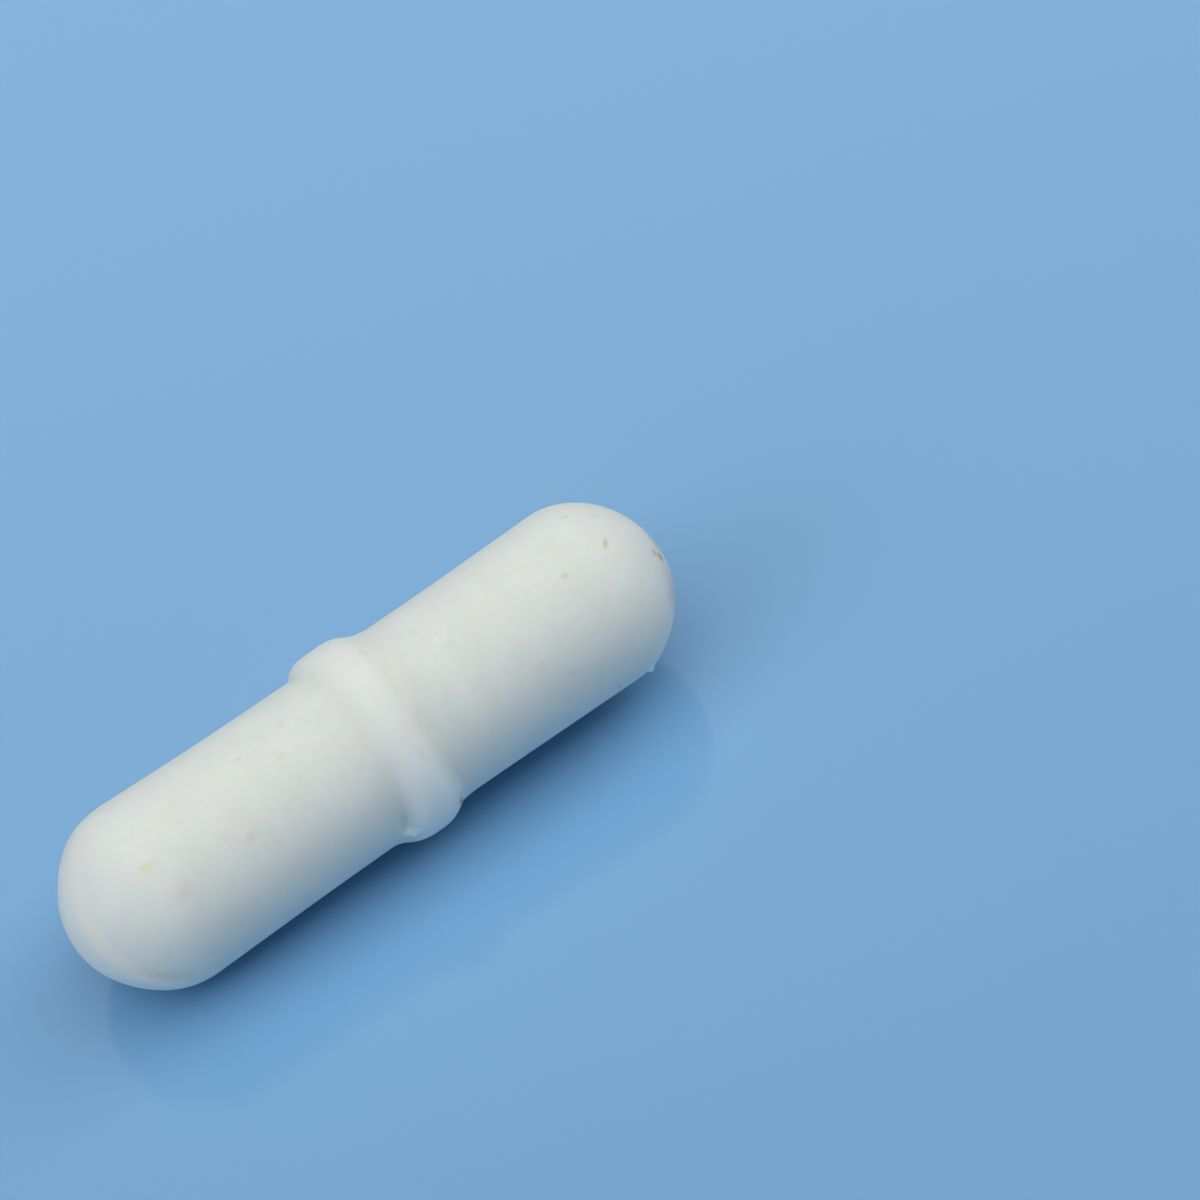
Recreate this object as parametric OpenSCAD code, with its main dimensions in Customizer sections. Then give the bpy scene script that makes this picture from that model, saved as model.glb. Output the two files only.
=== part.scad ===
// Magnetic stir bar with a pivot ring: a permanent magnet rod sealed inside a moulded PTFE jacket.
// The bar lies as it comes to rest on a flat vessel floor, on its ring and on its low end.
// The floor is z = 0, the origin is on it under the middle of the ring, and the high end points to +X.

/* [Body] */
// Overall length, from pole to pole
bar_l = 25; // [23:0.5:40]
// Diameter of the domed end that touches the floor
low_end_d = 7.1; // [6.8:0.05:7.4]
// Diameter of the domed end that stands clear of the floor
high_end_d = 6.95; // [6.8:0.05:7.4]
// Diameter of the waist, in the middle plane of the ring
waist_d = 6.75; // [6:0.05:6.8]

/* [Pivot ring] */
// Diameter over the ring
ring_d = 7.7; // [7.6:0.05:9]
// Width of the flat crown of the ring
crown_w = 0.8; // [0.2:0.1:2]
// Radius of the rounded edges of the crown
ring_edge_r = 1.35; // [0.6:0.05:2]
// Radius of the fillets that run the ring into the body
ring_foot_r = 1; // [0.6:0.05:2]
// Distance of the ring from mid length, towards the high end
ring_shift = 0.25; // [-1:0.05:1]

/* [Magnet] */
// Diameter of the magnet rod
magnet_d = 4.5; // [3:0.1:5]
// Length of the magnet rod
magnet_l = 19; // [10:0.5:20]
// Chamfer on the magnet's ends
magnet_chamfer = 0.3; // [0.1:0.05:0.6]
// Gap between the magnet and the jacket that is moulded round it
magnet_gap = 0.02; // [0.01:0.01:0.1]

/* [Hidden] */
$fn = 120;

ring_r = ring_d / 2;
waist_r = waist_d / 2;
edge_centre = [ring_r - ring_edge_r, crown_w / 2];

// From the middle of the ring to each pole
low_reach = bar_l / 2 + ring_shift;
high_reach = bar_l / 2 - ring_shift;

// Rest: the floor is tangent to the rounded edge of the ring and to the low dome. Both are circles in
// the upright plane through the bar's axis, so the tilt follows from their centres and radii.
low_dome_at = low_reach - low_end_d / 2;
rest_arm = [edge_centre[0], low_dome_at - edge_centre[1]];
rest_tilt = acos((low_end_d / 2 - ring_edge_r) / norm(rest_arm)) - atan2(rest_arm[1], rest_arm[0]);
axis_height = low_end_d / 2 + low_dome_at * sin(rest_tilt);

// One half of the jacket's profile, [radius, distance from the middle of the ring]. The flank is the
// straight line from the waist that is tangent to the dome. The fillet's centre lies its own radius
// outside the flank, and as far from the crown edge's centre as the two radii together, so the
// crown edge, the fillet and the flank run into each other smoothly.
module half_profile(end_d, reach) {
    dome_r = end_d / 2;
    dome_at = reach - dome_r;
    flare = asin(dome_r / norm([waist_r, dome_at])) - atan2(waist_r, dome_at);
    along = [sin(flare), cos(flare)];
    outward = [cos(flare), -sin(flare)];
    waist = [waist_r, 0];
    flank_end = [0, dome_at] + dome_r * outward;
    edge_above = (edge_centre - waist) * outward;
    foot_run = sqrt(pow(ring_edge_r + ring_foot_r, 2) - pow(ring_foot_r - edge_above, 2));
    foot_end = waist + ((edge_centre - waist) * along + foot_run) * along;
    foot_centre = foot_end + ring_foot_r * outward;

    intersection() {
        square([ring_r, reach]);
        union() {
            difference() {
                polygon([[0, 0], edge_centre, foot_centre, foot_end, flank_end, [0, dome_at]]);
                translate(foot_centre) circle(ring_foot_r);
            }
            translate([0, dome_at]) circle(dome_r);
            translate(edge_centre) circle(ring_edge_r);
            square([ring_r, crown_w / 2]);
        }
    }
}

// The magnet rod, grown by a gap on every side, standing on end about its own middle
module rod(gap) {
    rod_r = magnet_d / 2 + gap;
    rod_end = magnet_l / 2 + gap;
    rotate_extrude()
        polygon([
            [0, -rod_end],
            [rod_r - magnet_chamfer, -rod_end],
            [rod_r, magnet_chamfer - rod_end],
            [rod_r, rod_end - magnet_chamfer],
            [rod_r - magnet_chamfer, rod_end],
            [0, rod_end]
        ]);
}

// Lays an upright bar, whose ring is centred on z = 0, down on the floor with its high end to +X
module as_it_lies() {
    translate([0, 0, axis_height])
        rotate([0, -rest_tilt, 0])
            rotate([90, 0, 90])
                children();
}

// The magnet sits at mid length, which is below the middle of the ring when the ring is shifted up
module at_mid_length() {
    translate([0, 0, -ring_shift])
        children();
}

// The moulded jacket: body, domed ends and pivot ring in one piece, closed all round the magnet
module jacket() {
    color("whitesmoke")
        as_it_lies()
            difference() {
                rotate_extrude() {
                    half_profile(high_end_d, high_reach);
                    mirror([0, 1]) half_profile(low_end_d, low_reach);
                }
                at_mid_length() rod(magnet_gap);
            }
}

// The permanent magnet rod
module magnet() {
    color("dimgray")
        as_it_lies()
            at_mid_length() rod(0);
}

jacket();
magnet();
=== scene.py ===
"""A magnetic stir bar on a pale blue board: a PTFE jacket with a pivot ring, closed round a magnet rod.

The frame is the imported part's: the floor is z = 0, the origin is on it under the middle of the ring, and
the high end points to +X. On the bar, a place is given by `along`, its distance from the middle of the
ring towards the high end, and `turn`, its angle round the axis, which is 0 at the top and +90 degrees at
+Y. Lengths are in millimetres, and MM turns them into metres, but those of the floor and the lamps are
in metres. Turns are in radians unless a comment says degrees."""

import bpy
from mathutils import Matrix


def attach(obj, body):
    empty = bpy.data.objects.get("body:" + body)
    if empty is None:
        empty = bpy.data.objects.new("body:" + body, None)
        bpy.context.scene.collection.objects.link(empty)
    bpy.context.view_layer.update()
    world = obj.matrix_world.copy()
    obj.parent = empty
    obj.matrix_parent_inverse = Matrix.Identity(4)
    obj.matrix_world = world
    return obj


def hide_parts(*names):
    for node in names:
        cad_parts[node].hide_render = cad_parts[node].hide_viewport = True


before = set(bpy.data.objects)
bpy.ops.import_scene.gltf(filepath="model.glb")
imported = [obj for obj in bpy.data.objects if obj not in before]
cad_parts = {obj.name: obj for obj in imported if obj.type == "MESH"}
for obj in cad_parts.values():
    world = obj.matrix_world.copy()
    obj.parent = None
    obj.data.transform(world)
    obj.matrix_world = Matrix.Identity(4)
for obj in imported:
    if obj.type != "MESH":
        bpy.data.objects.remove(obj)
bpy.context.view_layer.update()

import bpy
import numpy as np
from mathutils import Matrix, Vector

MM = 0.001
scene = bpy.context.scene

# ---- Sizes of the jacket, the same as in the part's source ----

BAR_L = 25
LOW_END_D = 7.1
HIGH_END_D = 6.95
WAIST_R = 6.75 / 2
RING_R = 7.7 / 2
CROWN_W = 0.8
RING_EDGE_R = 1.35
RING_FOOT_R = 1
RING_SHIFT = 0.25

LOW_REACH = BAR_L / 2 + RING_SHIFT
HIGH_REACH = BAR_L / 2 - RING_SHIFT
LOW_DOME_AT = LOW_REACH - LOW_END_D / 2

# At rest the floor is tangent to the edge of the ring and to the low dome, two circles in the upright
# plane through the axis, so the tilt follows from the line between their centres and from their radii
ARM_ACROSS = RING_R - RING_EDGE_R
ARM_ALONG = LOW_DOME_AT - CROWN_W / 2
REST_TILT = np.arccos((LOW_END_D / 2 - RING_EDGE_R) / np.hypot(ARM_ACROSS, ARM_ALONG))
REST_TILT = REST_TILT - np.arctan2(ARM_ALONG, ARM_ACROSS)

# Height of the axis over the origin: the low dome's centre is its own radius above the floor
AXIS_HEIGHT = LOW_END_D / 2 + LOW_DOME_AT * np.sin(REST_TILT)


# ---- The jacket's true form ----

def arc(centre, radius, start, end, points=200):
    """Points on an arc: centre + radius * (cos, sin) of an angle that runs evenly from start to end."""
    angle = np.linspace(start, end, points)[:, None]
    return centre + radius * np.hstack([np.cos(angle), np.sin(angle)])


def half_profile(end_d, reach, edge_r=RING_EDGE_R, foot_r=RING_FOOT_R, crown_w=CROWN_W):
    """One half of the outline as [radius, along], from the middle of the ring to the pole.

    Flat crown, its rounded edge, the fillet at the ring's foot, the straight flank and the dome. The
    flank is tangent to the dome, and the fillet is tangent to the flank and to the crown's edge."""
    dome_r = end_d / 2
    dome_at = reach - dome_r
    edge_centre = np.array([RING_R - edge_r, crown_w / 2])
    flare = np.arcsin(dome_r / np.hypot(WAIST_R, dome_at)) - np.arctan2(WAIST_R, dome_at)
    flank = np.array([np.sin(flare), np.cos(flare)])
    outward = np.array([np.cos(flare), -np.sin(flare)])
    waist = np.array([WAIST_R, 0])
    edge_above = (edge_centre - waist) @ outward
    foot_run = np.sqrt((edge_r + foot_r) ** 2 - (foot_r - edge_above) ** 2)
    foot_centre = waist + ((edge_centre - waist) @ flank + foot_run) * flank + foot_r * outward
    to_foot = foot_centre - edge_centre
    meet = np.arctan2(to_foot[1], to_foot[0])
    return np.vstack([
        [[RING_R, 0]],
        arc(edge_centre, edge_r, 0, meet),
        arc(foot_centre, foot_r, meet + np.pi, np.pi - flare),
        arc(np.array([0, dome_at]), dome_r, -flare, np.pi / 2),
    ])


LOW_HALF = half_profile(LOW_END_D, LOW_REACH)
HIGH_HALF = half_profile(HIGH_END_D, HIGH_REACH)


def radius_at(distance, half):
    """Radius of a half outline at a distance from the middle of the ring."""
    return np.interp(distance, half[:, 1], half[:, 0])


def true_radius(along):
    """Radius of the whole outline at a place along the bar."""
    return np.where(along < 0, radius_at(-along, LOW_HALF), radius_at(along, HIGH_HALF))


def outline_rows(half, over_ring=2.3, close=60, wide=130):
    """The half outline in even steps along its line: `close` points over its first `over_ring`
    millimetres, which take in the ring, and `wide` steps from there to the pole."""
    run = np.concatenate([[0], np.cumsum(np.linalg.norm(np.diff(half, axis=0), axis=1))])
    at = np.concatenate([np.linspace(0, over_ring, close), np.linspace(over_ring, run[-1], wide + 1)[1:]])
    return np.stack([np.interp(at, run, half[:, 0]), np.interp(at, run, half[:, 1])], axis=1)


def on_bar(along, turn, radius):
    """The point of the frame at radius from the axis: (0, 0, axis height) + along * axis + radius *
    (cos(turn) * the direction across the axis that is nearest to up, + sin(turn) * the +Y direction)."""
    across, level = radius * np.cos(turn), radius * np.sin(turn)
    return np.stack([
        along * np.cos(REST_TILT) - across * np.sin(REST_TILT),
        level,
        AXIS_HEIGHT + along * np.sin(REST_TILT) + across * np.cos(REST_TILT),
    ], axis=-1)


# ---- What the moulding left on it ----

def shortest(turn):
    """The same turn between half a turn back and half a turn on."""
    return (turn + np.pi) % (2 * np.pi) - np.pi


def bell(distance, width):
    """A smooth bump of height 1: exp(-(distance / width) squared)."""
    return np.exp(-(distance / width) ** 2)


def round_bell(turn, at, width):
    """The same bump round the bar, by the shorter way from the angle `at` to the turn."""
    return bell(shortest(turn - at), width)


def round_bells(turn, bells):
    """The sum of several such bumps, each given by its height, its turn and its width."""
    return sum(height * round_bell(turn, at, width) for height, at, width in bells)


# The ring is filled unevenly. These are the bells, round the bar, of the share that is filled in full, and
# of how far its foot steps in towards the crown, on the low side of the ring and on the high side
LOW_SHARE = [(1, 1.1, 0.5), (0.4, -1.8, 0.3)]
HIGH_SHARE = [(0.6, -1.7, 0.6)]
HIGH_LEAST_SHARE = 0.05
LOW_STEP = [(0.45, -0.24, 0.77), (0.36, -1.5, 0.45)]
HIGH_STEP = [(0.2, -0.75, 0.35), (0.22, -1.4, 0.3), (0.12, -2.2, 0.3)]

# Where the steps are deepest along the bar, on either side, and the widths of their bells there
STEP_AT = 0.95
LOW_STEP_WIDTH = 0.95
HIGH_STEP_WIDTH = 0.8

# The ring's unevenness fades out between these distances from its middle, past its foot
FADE_START = 1.8
FADE_END = 2.6

# Bumps and hollows of the body: height, place along the bar and width of the bell there, turn and width
# of the bell round the bar
NIB_TURN = -1.9
BUMPS = [
    (-0.045, -4.8, 2.6, 0.9, 1.2),  # hollow in the low half, on its +Y side
    (-0.03, 4.2, 1.8, 0.9, 1.0),  # hollow in the high half, on its +Y side
    (-0.04, -6.5, 5.5, -2.25, 0.5),  # hollow low on the -Y side of the low half
    (0.045, 11, 1.3, 0.7, 1.0),  # high end, a little off the axis
    (0.04, 9.8, 0.7, 0.8, 0.5),  # the same, nearer the ring
    (0.06, -10.6, 0.8, 0.9, 0.7),  # low end, a little off the axis
    (-0.1, -11.9, 1.1, -2.4, 0.5),  # flat low on the low dome, on its -Y side
    (-0.05, -12.1, 0.4, 1.0, 0.5),  # flat high on the low dome, on its +Y side
    (0.08, 9.75, 0.5, -2.0, 0.35),  # lip of the mould's seam under the high end
    (0.15, 9.45, 0.12, -2.05, 0.05),  # tag on that lip
    (0.22, -1.06, 0.18, NIB_TURN, 0.05),  # nib at the ring's foot
    (-0.08, -1.12, 0.14, -1.7, 0.14),  # dent beside the nib
]

# The mould's edge shows on the low dome, in the plane through its centre with this normal, given in the
# bar's own directions: along, +Y and up
MOULD_EDGE_NORMAL = np.array([0.47, -0.58, 0.66])
MOULD_EDGE_NORMAL = MOULD_EDGE_NORMAL / np.linalg.norm(MOULD_EDGE_NORMAL)


def ring_as_moulded(along, turn):
    """How far the ring stands out from its true form.

    Its outline is share * full + (1 - share) * base. The full outline has a wide crown and a sharp foot.
    The base has a narrow crown with a slack edge on the low side, and a wide soft foot on the high side.
    All are read at the distance from the middle of the ring plus the step. They have the high end's
    flank on both sides, because only their distance from the true outline with that flank is used."""
    low_side = along < 0
    high_share = HIGH_LEAST_SHARE + round_bells(turn, HIGH_SHARE)
    share = np.where(low_side, round_bells(turn, LOW_SHARE), high_share)
    low_step = round_bells(turn, LOW_STEP) * bell(along + STEP_AT, LOW_STEP_WIDTH)
    high_step = round_bells(turn, HIGH_STEP) * bell(along - STEP_AT, HIGH_STEP_WIDTH)
    at = np.abs(along) + np.where(low_side, low_step, high_step)

    full = half_profile(HIGH_END_D, HIGH_REACH, edge_r=0.69, foot_r=0.22, crown_w=1.32)
    slack = half_profile(HIGH_END_D, HIGH_REACH, edge_r=1.9, foot_r=1.3, crown_w=0.2)
    soft = half_profile(HIGH_END_D, HIGH_REACH, edge_r=1.4, foot_r=2.4, crown_w=0.5)
    base = np.where(low_side, radius_at(at, slack), radius_at(at, soft))
    filled = share * radius_at(at, full) + (1 - share) * base
    nearby = np.clip((FADE_END - np.abs(along)) / (FADE_END - FADE_START), 0, 1)
    return nearby * (filled - radius_at(np.abs(along), HIGH_HALF))


def body_as_moulded(along, turn, radius):
    """How far the body and its ends stand out from their true form.

    That is the sum of two waves, which make the body slightly out of round, of the bumps and hollows, of
    the edge that the mould left on a great circle of the low dome, and of a fold beside that edge. The
    fold runs 0.55 mm from the edge, and below a turn of -1.45 it bends away, by as much again at most.
    Edge and fold come in over the first 1.2 mm of the dome."""
    out_of_round = 0.01 * np.sin(2 * turn + 0.35 * along) + 0.005 * np.sin(3 * turn - 0.8 * along + 2)
    bumps = 0
    for height, centre, length, at, width in BUMPS:
        bumps = bumps + height * bell(along - centre, length) * round_bell(turn, at, width)

    from_dome = along + LOW_DOME_AT
    lengthwise, sideways, upward = MOULD_EDGE_NORMAL
    off_edge = lengthwise * from_dome + radius * (sideways * np.sin(turn) + upward * np.cos(turn))
    edge_shown = np.clip(-from_dome / 1.2, 0, 1) * round_bell(turn, -0.8, 1.5)
    mould_edge = 0.028 * bell(off_edge, 0.16) * edge_shown
    fold_at = 0.55 + 1.1 * np.clip(-1.45 - turn, 0, 0.5)
    fold = -0.05 * bell(off_edge - fold_at, 0.26) * edge_shown * round_bell(turn, -1.65, 0.35)
    return out_of_round + bumps + mould_edge + fold


def jacket_skin(around=240, fade=0.8, crowding=0.5):
    """The jacket as a grid of `along` and `turn`: the outline from pole to pole, carried round the axis,
    plus what the moulding left, which fades out over the last `fade` millimetres above the floor. The
    turns are even ones less `crowding` times the sine of their distance from the nib, so they lie closer
    together there."""
    low = outline_rows(LOW_HALF) * [1, -1]
    outline = np.vstack([low[:0:-1], outline_rows(HIGH_HALF)])
    radius, along = outline[1:-1].T[..., None]
    even = np.linspace(-np.pi, np.pi, around, endpoint=False)[None]
    turn = shortest(even - crowding * np.sin(even - NIB_TURN))
    clear = np.clip(on_bar(along, turn, radius)[..., 2] / fade, 0, 1)
    clear = clear * clear * (3 - 2 * clear)
    moulded = ring_as_moulded(along, turn) + body_as_moulded(along, turn, radius)
    grid = on_bar(along, turn, radius + clear * moulded)
    poles = on_bar(outline[[0, -1], 1], np.zeros(2), np.zeros(2))
    return closed_mesh("jacket_skin", grid * MM, poles * MM)


def closed_mesh(name, grid, poles):
    """A mesh object from a grid of points whose rows close into rings, with a fan at each pole."""
    rows, columns = grid.shape[:2]
    number = np.arange(rows * columns).reshape(rows, columns)
    beside = np.roll(number, -1, axis=1)
    quads = np.stack([number[:-1], number[1:], beside[1:], beside[:-1]], axis=-1).reshape(-1, 4)
    first, last = rows * columns, rows * columns + 1
    start_fan = np.stack([np.full(columns, first), number[0], beside[0]], axis=-1)
    end_fan = np.stack([np.full(columns, last), beside[-1], number[-1]], axis=-1)
    mesh = bpy.data.meshes.new(name)
    points = np.vstack([grid.reshape(-1, 3), poles])
    mesh.from_pydata(points.tolist(), [], quads.tolist() + start_fan.tolist() + end_fan.tolist())
    mesh.shade_smooth()
    piece = bpy.data.objects.new(name, mesh)
    scene.collection.objects.link(piece)
    return piece


# ---- Finishes ----

class Wire:
    """An output of a shader node. Its operators add Math nodes, with a number or a wire on either side."""

    def __init__(self, finish, socket):
        self.finish, self.socket = finish, socket

    def math(self, operation, *values):
        return self.finish.node("Math", "Value", {"operation": operation}, dict(enumerate(values)))

    def __add__(self, other):
        return self.math("ADD", self, other)

    def __sub__(self, other):
        return self.math("SUBTRACT", self, other)

    def __rsub__(self, other):
        return self.math("SUBTRACT", other, self)

    def __mul__(self, other):
        return self.math("MULTIPLY", self, other)

    def __abs__(self):
        return self.math("ABSOLUTE", self)

    __radd__ = __add__
    __rmul__ = __mul__


class Finish:
    """The nodes of a material, or of the room's light, and the few ways in which they are added."""

    def __init__(self, owner, shader="Principled BSDF", **constants):
        owner.use_nodes = True
        self.owner, self.tree = owner, owner.node_tree
        self.surface = self.tree.nodes[shader]
        for socket, value in constants.items():
            self.surface.inputs[socket.replace("_", " ")].default_value = value

    def node(self, kind, output, settings=(), inputs=()):
        """Adds a node, sets its settings and then its inputs by name or number, and gives one output."""
        node = self.tree.nodes.new("ShaderNode" + kind)
        for setting, value in dict(settings).items():
            setattr(node, setting, value)
        for socket, value in dict(inputs).items():
            self.set(node.inputs[socket], value)
        return Wire(self, node.outputs[output])

    def set(self, socket, value):
        """Links a wire to the socket, or sets the socket's own value."""
        if isinstance(value, Wire):
            self.tree.links.new(value.socket, socket)
        else:
            socket.default_value = value

    def feed(self, socket, value):
        """Sets an input of the surface's shader."""
        self.set(self.surface.inputs[socket], value)

    def place(self, **mapping):
        """Object coordinates in millimetres, in the frame that the mapping's location and rotation give."""
        inputs = {"Vector": self.node("TexCoord", "Object"), "Scale": (MM, MM, MM), **mapping}
        return self.node("Mapping", "Vector", {"vector_type": "TEXTURE"}, inputs)

    def coordinate(self, axis, place):
        """The X, Y or Z of a place."""
        return self.node("SeparateXYZ", axis, {}, {0: place})

    def vector(self, operation, *values, output="Vector"):
        """Vector maths on places. A length or a dot product is a number, and its output is Value."""
        return self.node("VectorMath", output, {"operation": operation}, dict(enumerate(values)))

    def noise(self, place, size, detail, output="Fac"):
        """Soft random variation whose patches are about `size` millimetres across."""
        return self.node("TexNoise", output, {}, {"Vector": place, "Scale": 1 / size, "Detail": detail})

    def ease(self, value, start, end, low=0.0, high=1.0):
        """Smooth step of a value: `low` up to start, `high` from end on."""
        inputs = {"Value": value, "From Min": start, "From Max": end, "To Min": low, "To Max": high}
        return self.node("MapRange", "Result", {"interpolation_type": "SMOOTHSTEP"}, inputs)

    def mix(self, amount, first, second, how="MIX"):
        """Blend of two colours. For colours, the Mix node's A and B are its inputs 6 and 7, and its
        result is output 2."""
        inputs = {"Factor": amount, 6: first, 7: second}
        return self.node("Mix", 2, {"data_type": "RGBA", "blend_type": how}, inputs)

    def filter(self, amount, colour, tint):
        """The colour seen through a tint: multiplied by the tint's red, green and blue, by an amount."""
        return self.mix(amount, colour, tint, "MULTIPLY")

    def bump(self, height, depth, strength):
        """The normal of a surface roughened by a height, which is 0 to 1 over `depth` millimetres."""
        inputs = {"Strength": strength, "Distance": depth * MM, "Height": height}
        return self.node("Bump", "Normal", {}, inputs)

    def blend(self, amount, shader, output):
        """Sends the surface's own shader to the output blended with another one, by an amount."""
        own = Wire(self, self.surface.outputs[0])
        both = self.node("MixShader", "Shader", {}, {"Fac": amount, 1: own, 2: shader})
        self.set(self.tree.nodes[output].inputs["Surface"], both)


# The bar's own directions, for the finishes that follow its axis
BAR_PLACE = {"Location": (0, 0, AXIS_HEIGHT * MM), "Rotation": (0, -REST_TILT, 0)}

PTFE_DIM = (0.785, 0.81, 0.765, 1)
PTFE_CLEAN = (0.815, 0.835, 0.79, 1)
PTFE_DULL = (0.74, 0.765, 0.725, 1)
# Paler colour of the ring's crown: wear and a painted highlight
PTFE_RUBBED_AND_LIT = (0.90, 0.91, 0.86, 1)
# Pale warm colour of the painted highlight on the low dome's mould edge
PTFE_EDGE_HIGHLIGHT = (0.90, 0.86, 0.77, 1)
GRIME_TINT = (1.0, 0.972, 0.955, 1)

# The range over which the rim of a mark is stirred
RAGGED = 0.16

# Specks and stains on the jacket, and a few places of painted highlight and painted shade: along, turn in
# degrees, length along the bar, width round it, slant of the length within the surface in degrees, and the
# red, green and blue that the colour there is multiplied by, which is below 1 for a stain or shade and
# above 1 for a paler place
MARKS = [
    # Specks on the high dome, and brown dirt with painted contact shade along its far rim
    (10.06, -18.8, 0.17, 0.38, -35, (0.90, 0.76, 0.58)),
    (8.13, -23.0, 0.22, 0.20, 0, (0.93, 0.87, 0.75)),
    (11.62, -43.0, 0.34, 0.28, -20, (0.84, 0.76, 0.66)),
    (11.76, -51.0, 0.24, 0.30, 0, (0.62, 0.56, 0.52)),
    (11.98, -38.0, 0.30, 0.80, 0, (0.90, 0.84, 0.79)),
    (12.02, -20.0, 0.34, 0.90, 0, (0.95, 0.91, 0.87)),
    (12.02, -2.0, 0.34, 0.80, 0, (0.96, 0.93, 0.90)),
    # Stains on the low dome, and specks beside them
    (-9.72, -25.0, 0.42, 0.36, 0, (0.99, 0.93, 0.79)),
    (-9.36, -24.5, 0.44, 0.22, 0, (0.99, 0.96, 0.87)),
    (-9.07, -48.0, 0.56, 0.46, 0, (0.975, 0.935, 0.895)),
    (-6.12, -44.0, 0.32, 0.30, 0, (0.96, 0.91, 0.86)),
    (-6.94, -34.5, 0.40, 0.24, 0, (0.97, 0.97, 0.90)),
    # Faint specks along the top and on the -Y side
    (5.66, -58.7, 0.34, 0.30, 0, (0.985, 0.95, 0.905)),
    (6.54, -73.0, 0.24, 0.28, 0, (0.96, 0.95, 0.90)),
    (3.49, -17.0, 0.28, 0.22, 0, (0.95, 0.96, 0.90)),
    (0.37, -58.0, 0.20, 0.20, 0, (0.95, 0.92, 0.91)),
    (-2.91, 3.0, 0.22, 0.20, 0, (0.97, 0.94, 0.91)),
    (-3.65, -15.0, 0.30, 0.22, 0, (0.95, 0.95, 0.93)),
    (-4.86, 0.0, 0.24, 0.22, 0, (0.94, 0.95, 0.92)),
    (8.81, -48.0, 0.20, 0.24, 0, (0.97, 0.965, 0.93)),
    (8.20, -39.0, 0.16, 0.16, 0, (0.975, 0.97, 0.965)),
    (9.66, 13.5, 0.24, 0.20, 0, (0.94, 0.91, 0.86)),
    (10.52, 6.0, 0.24, 0.20, 0, (0.94, 0.91, 0.86)),
    (6.94, 6.4, 0.20, 0.20, 0, (0.97, 0.95, 0.93)),
    # A brown spot at the ring's foot with a halo, and a pink one under the high half
    (1.00, -107.0, 0.24, 0.26, 0, (0.38, 0.24, 0.20)),
    (1.05, -102.0, 0.26, 0.40, 0, (0.94, 0.86, 0.80)),
    (8.03, -110.0, 0.20, 0.22, 0, (1.0, 0.72, 0.76)),
    # Faint tints at the foot of the ring and on its crown
    (0.90, 8.5, 0.28, 0.36, 0, (0.985, 0.93, 0.91)),
    (0.60, -47.0, 1.30, 0.90, 0, (1.0, 0.985, 0.975)),
    # Painted shade in the crease above the nib, and a painted highlight on the nib itself
    (-1.06, -95.0, 0.28, 0.80, 0, (0.95, 0.93, 0.94)),
    (-1.06, -107.5, 0.50, 0.36, 0, (1.35, 1.24, 1.10)),
    # Brown grime and painted shade in the fold on the low dome, and two places on the mould's edge
    (-11.05, -96.0, 0.50, 1.80, 60, (0.97, 0.92, 0.87)),
    (-12.24, -38.0, 0.26, 0.34, 0, (1.03, 0.965, 0.945)),
    (-12.03, -62.0, 0.26, 0.40, 0, (1.03, 0.965, 0.945)),
    # Grey darkening low on the high dome, painted shade with some dirt, and a warm tint at the ring's foot
    (11.60, -98.0, 1.00, 2.40, 0, (0.74, 0.77, 0.82)),
    (-0.82, 22.0, 0.50, 0.60, 0, (1.0, 0.975, 0.94)),
]


def mark_frame(along, turn, length, width, slant):
    """Location, rotation and scale of a mark's own frame: along the bar, round it and out of it, in half
    sizes, so that the mark's rim is at a distance of 1. The centre is moved by the mean of the stir."""
    turn = np.radians(turn)
    radius = true_radius(along)
    centre = np.array([along, radius * np.sin(turn), radius * np.cos(turn)]) + RAGGED / 2
    axes = Matrix.Rotation(-turn, 3, "X") @ Matrix.Rotation(np.radians(slant), 3, "Z")
    half_sizes = (length / 2, width / 2, max(length, width))
    return {"Location": centre, "Rotation": axes.to_euler("XYZ"), "Scale": half_sizes}


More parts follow.
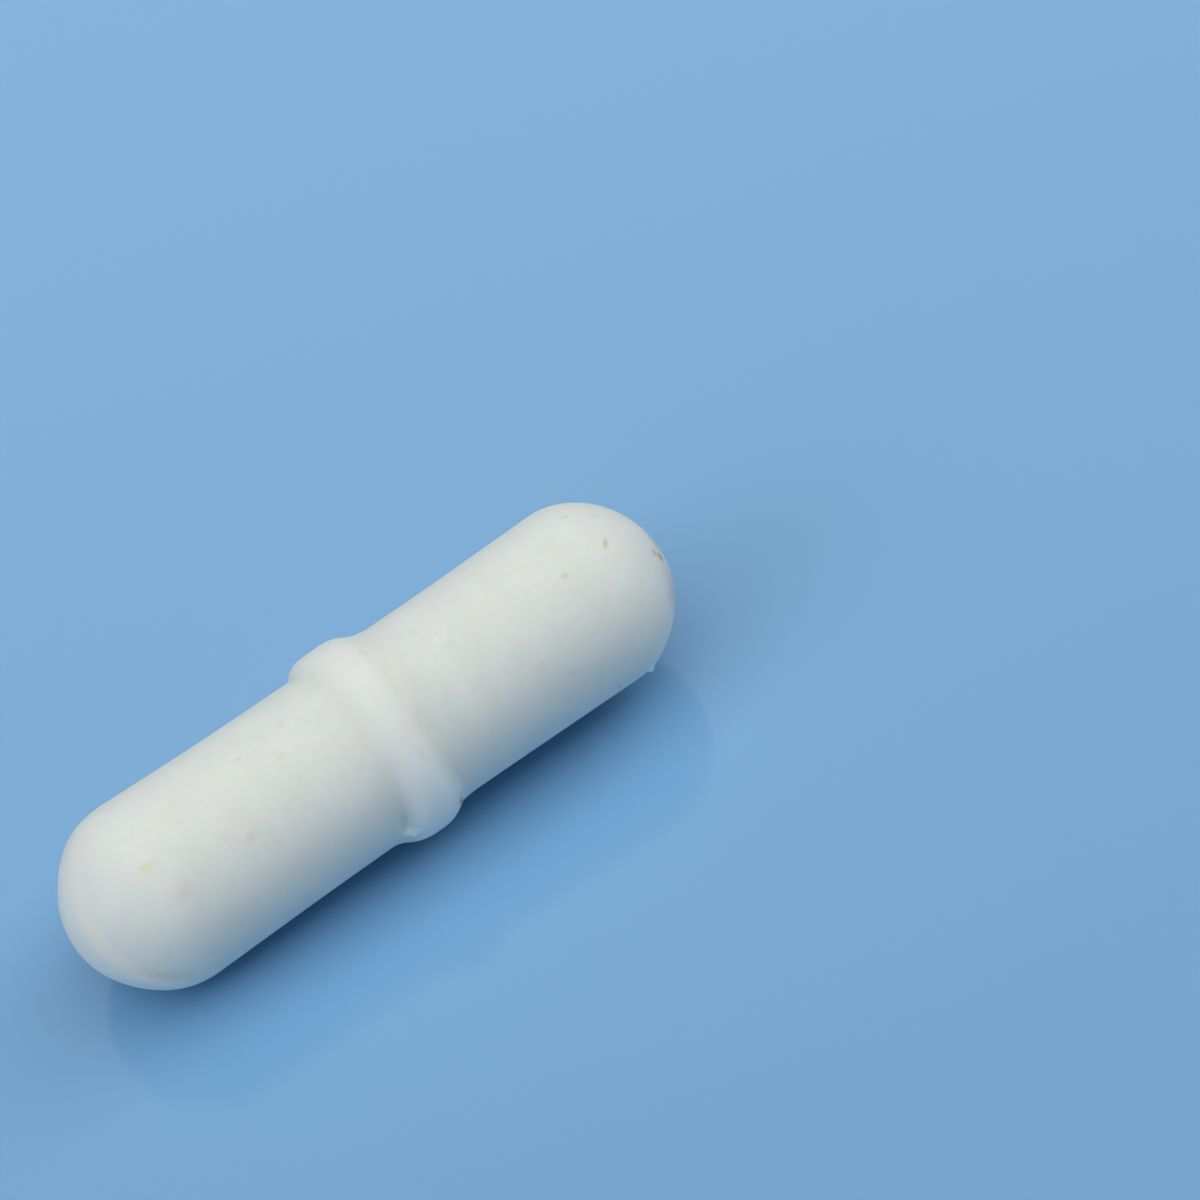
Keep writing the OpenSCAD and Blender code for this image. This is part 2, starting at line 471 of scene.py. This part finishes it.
def ptfe():
    """White PTFE after long use: clouded, waxy, with grime in the ring's creases, specks and stains, and
    some painted highlights and painted shade.
    """
    finish = Finish(
        bpy.data.materials.new("worn_ptfe"),
        IOR=1.35,
        Specular_IOR_Level=0.2,
        Subsurface_Weight=1.0,
        Subsurface_Radius=(1.5, 1.0, 0.9),
        Subsurface_Scale=2.3 * MM,
    )
    place = finish.place(**BAR_PLACE)
    along = finish.coordinate("X", place)
    level = finish.coordinate("Y", place)
    clouds = finish.ease(finish.noise(place, 1.6, detail=3), 0.3, 0.7)
    mottle = finish.ease(finish.noise(place, 0.35, detail=2), 0.35, 0.75, 0, 0.25)
    colour = finish.mix(mottle, finish.mix(clouds, PTFE_DIM, PTFE_CLEAN), PTFE_DULL)

    # Pinkish grime along the ring's foot on the high side, patchy and a little off the line
    patches = finish.noise(place, 1.1, detail=2)
    off_line = abs(along - 0.72 - 0.5 * patches)
    patchy = finish.ease(finish.noise(place, 2.2, detail=1), 0.4, 0.62, 0.15, 0.8)
    colour = finish.filter(finish.ease(off_line, 0.3, 0.02) * patchy, colour, GRIME_TINT)

    # The ring's crown is paler, partly rubbed clean by the vessel's floor and partly a painted highlight,
    # the more so on its -Y side
    rubbed_and_lit = finish.ease(abs(along), 1.05, 0.45) * finish.ease(level, -2.6, -3.9, 0.18, 1.0)
    colour = finish.mix(rubbed_and_lit, colour, PTFE_RUBBED_AND_LIT)

    # A painted highlight, pale and warm, runs along the edge left by the mould on the low dome, strongest
    # on its -Y side
    from_dome = finish.vector("SUBTRACT", place, (-LOW_DOME_AT, 0, 0))
    off_edge = finish.vector("DOT_PRODUCT", from_dome, MOULD_EDGE_NORMAL, output="Value")
    on_dome = finish.ease(along, -LOW_DOME_AT, -LOW_DOME_AT - 2)
    edge_highlight = finish.ease(abs(off_edge - 0.2 + 0.3 * (patches - 0.5)), 0.6, 0.1) * on_dome
    edge_highlight = edge_highlight * finish.ease(level, 0.5, -1.5, 0.2, 0.85)
    colour = finish.mix(edge_highlight, colour, PTFE_EDGE_HIGHLIGHT)

    # Marks have ragged rims: the place that they are drawn by is stirred a little
    stir = finish.noise(place, 0.3, detail=2, output="Color")
    stirred = finish.vector("MULTIPLY_ADD", stir, (RAGGED, RAGGED, RAGGED), place)
    for *where, tint in MARKS:
        inputs = {"Vector": stirred, **mark_frame(*where)}
        on_mark = finish.node("Mapping", "Vector", {"vector_type": "TEXTURE"}, inputs)
        off = finish.vector("LENGTH", on_mark, output="Value")
        colour = finish.filter(finish.ease(off, 1.7, 0.3), colour, (*tint, 1))

    finish.feed("Base Color", colour)
    finish.feed("Roughness", finish.ease(finish.noise(place, 0.8, detail=4), 0.3, 0.7, 0.50, 0.62))
    finish.feed("Normal", finish.bump(finish.noise(place, 0.12, detail=3), depth=0.02, strength=0.35))
    return finish.owner


ALLOY_DARK = (0.30, 0.29, 0.28, 1)
ALLOY_BRIGHT = (0.42, 0.41, 0.40, 1)
OXIDE_BROWN = (0.20, 0.17, 0.15, 1)


def ground_magnet():
    """Ground magnet alloy: grey metal with fine grinding rings round the rod and a little oxide."""
    finish = Finish(bpy.data.materials.new("ground_magnet"), Metallic=1.0)
    place = finish.place(**BAR_PLACE)
    drawn = finish.node("Mapping", "Vector", {}, {"Vector": place, "Scale": (1.0, 0.08, 0.08)})
    rings = finish.noise(drawn, 0.05, detail=4)
    oxide = finish.noise(place, 1.2, detail=5)
    colour = finish.mix(finish.ease(rings, 0.3, 0.7), ALLOY_DARK, ALLOY_BRIGHT)
    colour = finish.mix(finish.ease(oxide, 0.55, 0.8, 0, 0.6), colour, OXIDE_BROWN)
    finish.feed("Base Color", colour)
    finish.feed("Roughness", finish.ease(oxide, 0.35, 0.75, 0.32, 0.6))
    finish.feed("Normal", finish.bump(rings, depth=0.01, strength=0.4))
    return finish.owner


# Ends of the board's colour, the deep one where the painted light is least
BOARD_DEEP = (0.167, 0.393, 0.662, 1)
BOARD_PALE = (0.262, 0.513, 0.822, 1)
GLOSS_SHARE = 0.055


def board():
    """Blue board that pales towards +Y in a painted gradient of light and sheen, matt under a faint gloss
    that is the same at every slant.
    """
    finish = Finish(bpy.data.materials.new("blue_board"), Specular_IOR_Level=0)
    place = finish.place()
    # The paling towards +Y and +X is painted light and sheen, not the board's own colour
    painted_light_drift = finish.coordinate("Y", place) + 0.35 * finish.coordinate("X", place)
    painted_light_drift = painted_light_drift + 6 * (finish.noise(place, 40, detail=1) - 0.5)
    finish.feed("Base Color", finish.mix(finish.ease(painted_light_drift, -45, 65), BOARD_DEEP, BOARD_PALE))
    fibre = finish.ease(finish.noise(place, 0.5, detail=3), 0.3, 0.7, 0.09, 0.13)
    gloss = finish.node("BsdfAnisotropic", "BSDF", {}, {"Roughness": fibre})
    finish.blend(GLOSS_SHARE, gloss, "Material Output")
    return finish.owner


# ---- Pieces ----

jacket = jacket_skin()
jacket.data.materials.append(ptfe())
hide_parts("jacket")
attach(jacket, "root")

magnet_finish = ground_magnet()
for slot in bpy.data.objects["magnet"].material_slots:
    slot.material = magnet_finish

# ---- Stage ----

FLOOR_REACH = 1.5
floor_mesh = bpy.data.meshes.new("floor")
floor_corners = [(x * FLOOR_REACH, y * FLOOR_REACH, 0) for x, y in ((-1, -1), (1, -1), (1, 1), (-1, 1))]
floor_mesh.from_pydata(floor_corners, [], [(0, 1, 2, 3)])
floor = bpy.data.objects.new("floor", floor_mesh)
floor.data.materials.append(board())
scene.collection.objects.link(floor)


def area_lamp(name, place, colour, watts, **shape):
    """An area lamp with the settings of its shape. It shines straight down until it is turned."""
    lamp = bpy.data.lights.new(name, "AREA")
    lamp.color = colour
    lamp.energy = watts
    for setting, value in shape.items():
        setattr(lamp, setting, value)
    holder = bpy.data.objects.new(name, lamp)
    holder.location = place
    scene.collection.objects.link(holder)
    return holder


# Strip softbox over the bar, a little towards the camera's side and longer beyond the low end. The
# angles at the origin, in degrees from straight up, are those of its two ends, half its width and its shift
SOFTBOX_HEIGHT = 0.6
LOW_SIDE, HIGH_SIDE, HALF_WIDTH, SHIFT = SOFTBOX_HEIGHT * np.tan(np.radians([60, 52, 28, 4.5]))
SOFTBOX_PLACE = ((HIGH_SIDE - LOW_SIDE) / 2, -SHIFT, SOFTBOX_HEIGHT)
strip = {"shape": "RECTANGLE", "size": LOW_SIDE + HIGH_SIDE, "size_y": 2 * HALF_WIDTH}
area_lamp("softbox", SOFTBOX_PLACE, (0.95, 0.98, 0.99), 5.65, **strip)

# Two faint squares aimed at the origin: a fill from beyond the low end, a warm glow from beyond the high
for side_lamp in (
    area_lamp("fill", (-0.5, -0.05, 0.24), (1.0, 0.96, 0.92), 0.32, size=0.3),
    area_lamp("glow", (0.5, 0, 0.36), (1.0, 0.88, 0.7), 0.45, size=0.3),
):
    side_lamp.rotation_euler = (-side_lamp.location).to_track_quat("-Z", "Y").to_euler()

# The room: dim pale light from all round. Where it is seen, directly or in gloss, it is white
room = Finish(bpy.data.worlds.new("room"), "Background", Color=(0.90, 0.95, 1.02, 1), Strength=0.125)
white = room.node("Background", "Background", {}, {"Color": (1, 1, 1, 1), "Strength": 1.0})
seen = room.node("LightPath", "Is Camera Ray") + room.node("LightPath", "Is Glossy Ray")
seen = seen + room.node("LightPath", "Is Transmission Ray")
room.blend(seen, white, "World Output")
scene.world = room.owner

# ---- Camera: a long lens that looks down on the bar over its low end and its -Y side ----

CAMERA_AT = Vector((-39.765, -112.684, 140.920)) * MM
CAMERA_AIM = Vector((10.920, 2.889, 0.022)) * MM
CAMERA_ROLL = np.radians(-15.25)
lens = bpy.data.cameras.new("camera")
lens.lens = 156
lens.sensor_width = 36
lens.clip_start = 0.01
camera = bpy.data.objects.new("camera", lens)
sight = (CAMERA_AIM - CAMERA_AT).to_track_quat("-Z", "Y").to_matrix()
sight = sight @ Matrix.Rotation(CAMERA_ROLL, 3, "Z")
camera.matrix_world = Matrix.Translation(CAMERA_AT) @ sight.to_4x4()
scene.collection.objects.link(camera)
scene.camera = camera

scene.view_settings.view_transform = "Standard"
